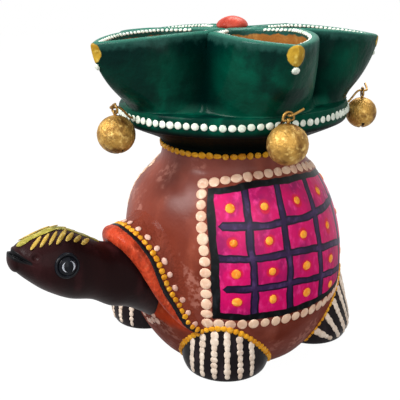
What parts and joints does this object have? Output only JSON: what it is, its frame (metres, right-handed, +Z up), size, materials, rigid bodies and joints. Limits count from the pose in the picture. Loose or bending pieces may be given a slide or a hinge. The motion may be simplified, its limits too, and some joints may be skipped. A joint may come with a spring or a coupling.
{
  "type": "diya oil lamp",
  "caption": "Hand-painted clay diya lamp: pinched oil cups round a pointed bud on a dotted plate, carried by a tortoise-shaped pot, with small rattle bells hung on wire under the cup tips.",
  "frame": {"origin": "middle of the pot's base, on the floor plane", "axes": "+Z up along the pot's axis; the tortoise looks along -Y; +X is the tortoise's left side"},
  "size_m": [0.1538, 0.2013, 0.1802],
  "materials": {
    "brown_clay": "brown painted terracotta under varnish, with a painted check panel and dotted lines",
    "green_clay": "deep green painted terracotta under varnish, bare clay inside the cups, white dots",
    "maroon_clay": "dark maroon painted terracotta under varnish",
    "orange_clay": "coral orange painted terracotta under varnish",
    "black_clay": "black painted terracotta under varnish with cream dotted stripes",
    "gold_brass": "antique gold brass with a rough cast skin",
    "steel_pellet": "plain steel pellet inside a bell"
  },
  "bodies": {
    "lamp": {"body_pot": "brown_clay", "lamp_plate": "green_clay", "cup_1": "green_clay", "cup_2": "green_clay", "cup_3": "green_clay", "cup_4": "green_clay", "cup_5": "green_clay", "centre_bud": "orange_clay", "head": "maroon_clay", "eye_left": "black_clay", "eye_right": "black_clay", "collar": "orange_clay", "foot_front_left": "black_clay", "foot_front_right": "black_clay", "foot_rear_left": "black_clay", "foot_rear_right": "black_clay", "tail": "maroon_clay", "hanger_1": "gold_brass", "hanger_2": "gold_brass", "hanger_3": "gold_brass", "hanger_4": "gold_brass", "hanger_5": "gold_brass"},
    "bail_1": {"bail_1": "gold_brass"},
    "bell_1": {"bell_shell_1": "gold_brass"},
    "pellet_1": {"bell_pellet_1": "steel_pellet"},
    "bail_2": {"bail_2": "gold_brass"},
    "bell_2": {"bell_shell_2": "gold_brass"},
    "pellet_2": {"bell_pellet_2": "steel_pellet"},
    "bail_3": {"bail_3": "gold_brass"},
    "bell_3": {"bell_shell_3": "gold_brass"},
    "pellet_3": {"bell_pellet_3": "steel_pellet"},
    "bail_4": {"bail_4": "gold_brass"},
    "bell_4": {"bell_shell_4": "gold_brass"},
    "pellet_4": {"bell_pellet_4": "steel_pellet"},
    "bail_5": {"bail_5": "gold_brass"},
    "bell_5": {"bell_shell_5": "gold_brass"},
    "pellet_5": {"bell_pellet_5": "steel_pellet"}
  },
  "joints": [
    {"name": "bail_1_swing", "type": "hinge", "parent": "lamp", "child": "bail_1", "pos_m": [0, -0.07095, 0.1406], "axis": [0, -1, 0], "range_deg": [-40, 40]},
    {"name": "bell_1_tilt", "type": "hinge", "parent": "bail_1", "child": "bell_1", "pos_m": [0, -0.07095, 0.1384], "axis": [-1, 0, 0], "range_deg": [0, 35]},
    {"name": "pellet_1_rattle", "type": "slide", "parent": "bell_1", "child": "pellet_1", "axis": [0, 0, 1], "range_m": [0, 0.0111]},
    {"name": "bail_2_swing", "type": "hinge", "parent": "lamp", "child": "bail_2", "pos_m": [0.06748, -0.02192, 0.1406], "axis": [0.9511, -0.309, 0], "range_deg": [-40, 40]},
    {"name": "bell_2_tilt", "type": "hinge", "parent": "bail_2", "child": "bell_2", "pos_m": [0.06748, -0.02192, 0.1384], "axis": [-0.309, -0.9511, 0], "range_deg": [0, 35]},
    {"name": "pellet_2_rattle", "type": "slide", "parent": "bell_2", "child": "pellet_2", "axis": [0, 0, 1], "range_m": [0, 0.0111]},
    {"name": "bail_3_swing", "type": "hinge", "parent": "lamp", "child": "bail_3", "pos_m": [0.04103, 0.05647, 0.1406], "axis": [0.5878, 0.809, 0], "range_deg": [-40, 40]},
    {"name": "bell_3_tilt", "type": "hinge", "parent": "bail_3", "child": "bell_3", "pos_m": [0.04103, 0.05647, 0.1384], "axis": [0.809, -0.5878, 0], "range_deg": [0, 35]},
    {"name": "pellet_3_rattle", "type": "slide", "parent": "bell_3", "child": "pellet_3", "axis": [0, 0, 1], "range_m": [0, 0.009]},
    {"name": "bail_4_swing", "type": "hinge", "parent": "lamp", "child": "bail_4", "pos_m": [-0.04103, 0.05647, 0.1406], "axis": [-0.5878, 0.809, 0], "range_deg": [-40, 40]},
    {"name": "bell_4_tilt", "type": "hinge", "parent": "bail_4", "child": "bell_4", "pos_m": [-0.04103, 0.05647, 0.1384], "axis": [0.809, 0.5878, 0], "range_deg": [0, 35]},
    {"name": "pellet_4_rattle", "type": "slide", "parent": "bell_4", "child": "pellet_4", "axis": [0, 0, 1], "range_m": [0, 0.009]},
    {"name": "bail_5_swing", "type": "hinge", "parent": "lamp", "child": "bail_5", "pos_m": [-0.06748, -0.02192, 0.1406], "axis": [-0.9511, -0.309, 0], "range_deg": [-40, 40]},
    {"name": "bell_5_tilt", "type": "hinge", "parent": "bail_5", "child": "bell_5", "pos_m": [-0.06748, -0.02192, 0.1384], "axis": [-0.309, 0.9511, 0], "range_deg": [0, 35]},
    {"name": "pellet_5_rattle", "type": "slide", "parent": "bell_5", "child": "pellet_5", "axis": [0, 0, 1], "range_m": [0, 0.0111]}
  ]
}
